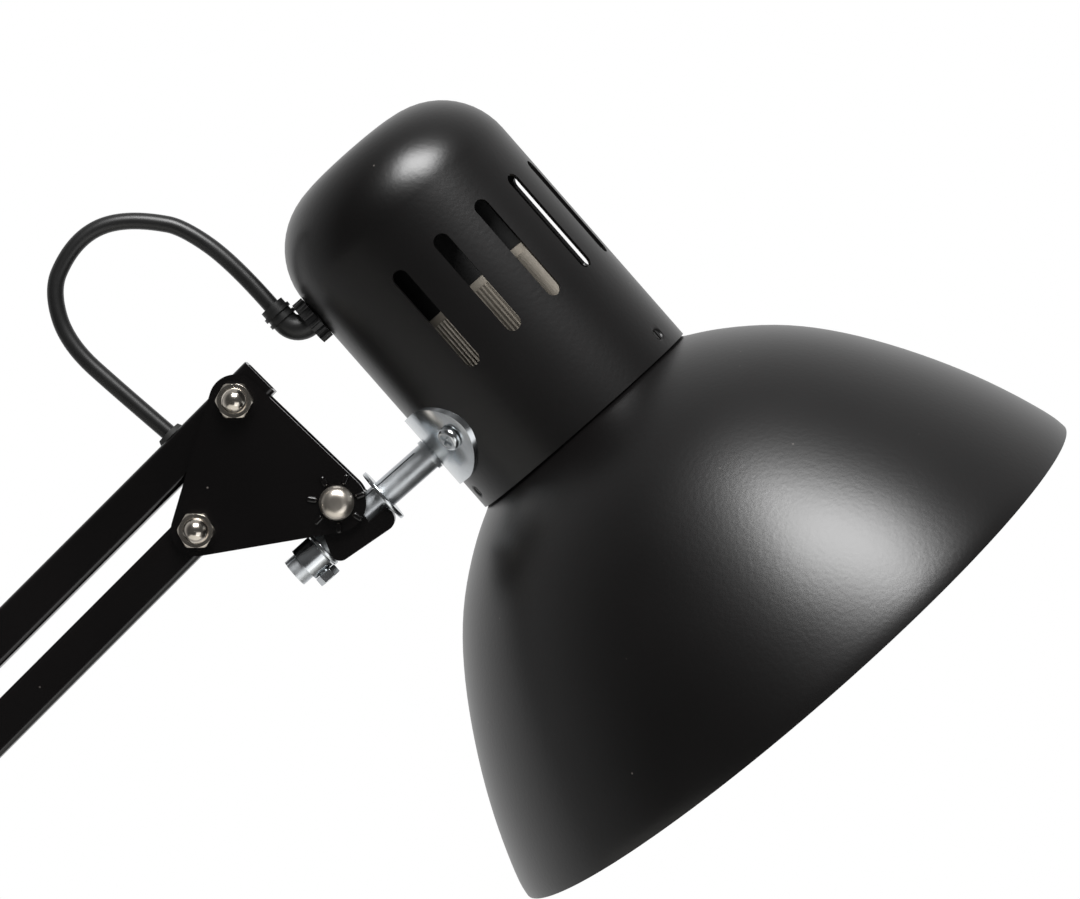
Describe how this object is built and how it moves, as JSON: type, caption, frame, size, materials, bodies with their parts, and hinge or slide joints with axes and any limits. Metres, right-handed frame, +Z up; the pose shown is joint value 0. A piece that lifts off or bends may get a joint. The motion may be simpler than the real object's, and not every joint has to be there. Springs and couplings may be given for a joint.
{
  "type": "swing arm desk lamp",
  "caption": "Black swing arm desk lamp on a table clamp: parallel square-bar arms with springs, a tilting knuckle and a bell shade under a slotted cap.",
  "frame": {"origin": "on the table top, under the upper jaw, on the axis of the post", "axes": "+Z up along the post; the arms lie in the XZ plane and the head reaches towards +X; -Y is the near side with the acorn nuts, where the table lies; the clamp's spine is on the +Y side"},
  "size_m": [0.5153, 0.1718, 0.8673],
  "materials": {
    "black_powder_coat": "satin",
    "zinc_plated_steel": "satin",
    "nickel_plate": "polished",
    "spring_wire": "satin",
    "black_pvc": "satin",
    "black_rubber": "matte",
    "black_plastic": "satin",
    "brass": "satin",
    "grey_socket": "matte"
  },
  "bodies": {
    "clamp": {"clamp_frame": "black_powder_coat", "cord_tail": "black_pvc", "cord_coil": "black_pvc", "coil_tie": "black_plastic", "switch_lower_shell": "black_plastic", "switch_upper_shell": "black_plastic", "plug": "black_plastic", "plug_pins": "brass"},
    "thumb_screw": {"post_thumb_screw": "zinc_plated_steel"},
    "clamp_pad": {"clamp_pad": "black_rubber"},
    "clamp_screw": {"clamp_screw": "zinc_plated_steel", "tommy_bar": "zinc_plated_steel"},
    "rocker": {"switch_rocker": "black_plastic"},
    "base_fork": {"base_fork": "black_powder_coat", "thrust_washer": "zinc_plated_steel", "base_pivot_bolts": "zinc_plated_steel", "base_acorn_nuts": "nickel_plate", "fork_spring_pin": "zinc_plated_steel", "cord_base": "black_pvc"},
    "lower_bar_rear": {"lower_bar_rear": "black_powder_coat", "lower_bar_grommets": "black_rubber", "cord_lower_run": "black_pvc"},
    "lower_bar_front": {"lower_bar_front": "black_powder_coat", "lower_bar_spring_pin": "zinc_plated_steel", "lower_springs": "spring_wire"},
    "elbow": {"elbow_plate_near": "black_powder_coat", "elbow_plate_far": "black_powder_coat", "elbow_pivot_bolts": "zinc_plated_steel", "elbow_acorn_nuts": "nickel_plate", "elbow_spring_pin": "zinc_plated_steel", "cord_elbow": "black_pvc"},
    "upper_bar_top": {"upper_bar_top": "black_powder_coat", "upper_bar_grommets": "black_rubber", "cord_upper_run": "black_pvc"},
    "upper_bar_low": {"upper_bar_low": "black_powder_coat", "upper_bar_spring_pin": "zinc_plated_steel", "upper_springs": "spring_wire"},
    "head_plates": {"head_plate_near": "black_powder_coat", "head_plate_far": "black_powder_coat", "head_pivot_bolts": "zinc_plated_steel", "head_acorn_nuts": "nickel_plate", "tilt_bolt": "nickel_plate", "cord_head": "black_pvc"},
    "wing_nut": {"tilt_wing_nut": "zinc_plated_steel"},
    "knuckle": {"knuckle_block": "black_powder_coat", "knuckle_washers": "zinc_plated_steel"},
    "head": {"shade": "black_powder_coat", "cap": "black_powder_coat", "rim_screws": "black_powder_coat", "saddle_bracket": "zinc_plated_steel", "saddle_screws": "zinc_plated_steel", "head_rod": "zinc_plated_steel", "rod_collar": "zinc_plated_steel", "collar_screw": "zinc_plated_steel", "cord_gland": "black_plastic", "lamp_socket": "grey_socket", "socket_cap": "black_plastic", "screw_shell": "brass", "centre_contact": "brass", "shade_ring": "black_plastic"}
  },
  "joints": [
    {"name": "base_swivel", "type": "hinge", "parent": "clamp", "child": "base_fork", "pos_m": [0, 0, 0.046], "axis": [0, 0, 1], "range_deg": [-120, 120], "deforming": ["cord_base"]},
    {"name": "shoulder", "type": "hinge", "parent": "base_fork", "child": "lower_bar_rear", "pos_m": [-0.0096, 0, 0.0825], "axis": [0, -1, 0], "range_deg": [-40, 25], "deforming": ["cord_base"]},
    {"name": "shoulder_front", "type": "hinge", "parent": "base_fork", "child": "lower_bar_front", "pos_m": [0.00962, 0, 0.08801], "axis": [0, -1, 0], "range_deg": [-40, 25], "deforming": ["lower_springs"]},
    {"name": "elbow_level", "type": "hinge", "parent": "lower_bar_rear", "child": "elbow", "pos_m": [-0.13322, 0, 0.38847], "axis": [0, -1, 0], "range_deg": [-25, 40], "deforming": ["cord_elbow"]},
    {"name": "elbow", "type": "hinge", "parent": "elbow", "child": "upper_bar_top", "pos_m": [-0.10894, 0, 0.45057], "axis": [0, -1, 0], "range_deg": [-65, 9], "deforming": ["cord_elbow"]},
    {"name": "elbow_low", "type": "hinge", "parent": "elbow", "child": "upper_bar_low", "pos_m": [-0.118, 0, 0.41998], "axis": [0, -1, 0], "range_deg": [-65, 9], "deforming": ["upper_springs"]},
    {"name": "head_level", "type": "hinge", "parent": "upper_bar_top", "child": "head_plates", "pos_m": [0.12441, 0, 0.68392], "axis": [0, -1, 0], "range_deg": [-9, 65], "deforming": ["cord_head"]},
    {"name": "head_tilt", "type": "hinge", "parent": "head_plates", "child": "knuckle", "pos_m": [0.14835, 0, 0.65973], "axis": [0, -1, 0], "range_deg": [-32, 10], "deforming": ["cord_head"]},
    {"name": "head_swivel", "type": "hinge", "parent": "knuckle", "child": "head", "pos_m": [0.16508, 0, 0.66644], "axis": [-0.7513, 0, -0.66], "range_deg": [-45, 45], "deforming": ["cord_head"]},
    {"name": "wing_nut_turn", "type": "hinge", "parent": "head_plates", "child": "wing_nut", "pos_m": [0.14835, 0, 0.65973], "axis": [0, -1, 0], "range_deg": [-90, 90]},
    {"name": "rocker_press", "type": "hinge", "parent": "clamp", "child": "rocker", "pos_m": [-0.144, 0, 0.013], "axis": [0, 1, 0], "range_deg": [0, 14]},
    {"name": "thumb_screw_turn", "type": "hinge", "parent": "clamp", "child": "thumb_screw", "pos_m": [0, 0, 0.03], "axis": [0, -1, 0], "range_deg": [-90, 90]},
    {"name": "clamp_travel", "type": "slide", "parent": "clamp", "child": "clamp_pad", "axis": [0, 0, 1], "range_m": [-0.018, 0.018]},
    {"name": "clamp_turn", "type": "hinge", "parent": "clamp_pad", "child": "clamp_screw", "pos_m": [0, -0.006, -0.06], "axis": [0, 0, 1], "range_deg": [-2161, 2161]}
  ],
  "couplings": [
    {"joint": "shoulder_front", "follows": "shoulder", "ratio": 1},
    {"joint": "elbow_level", "follows": "shoulder", "ratio": -1},
    {"joint": "elbow_low", "follows": "elbow", "ratio": 1},
    {"joint": "head_level", "follows": "elbow", "ratio": -1},
    {"joint": "clamp_turn", "follows": "clamp_travel", "rad_per_m": 2094.4}
  ]
}
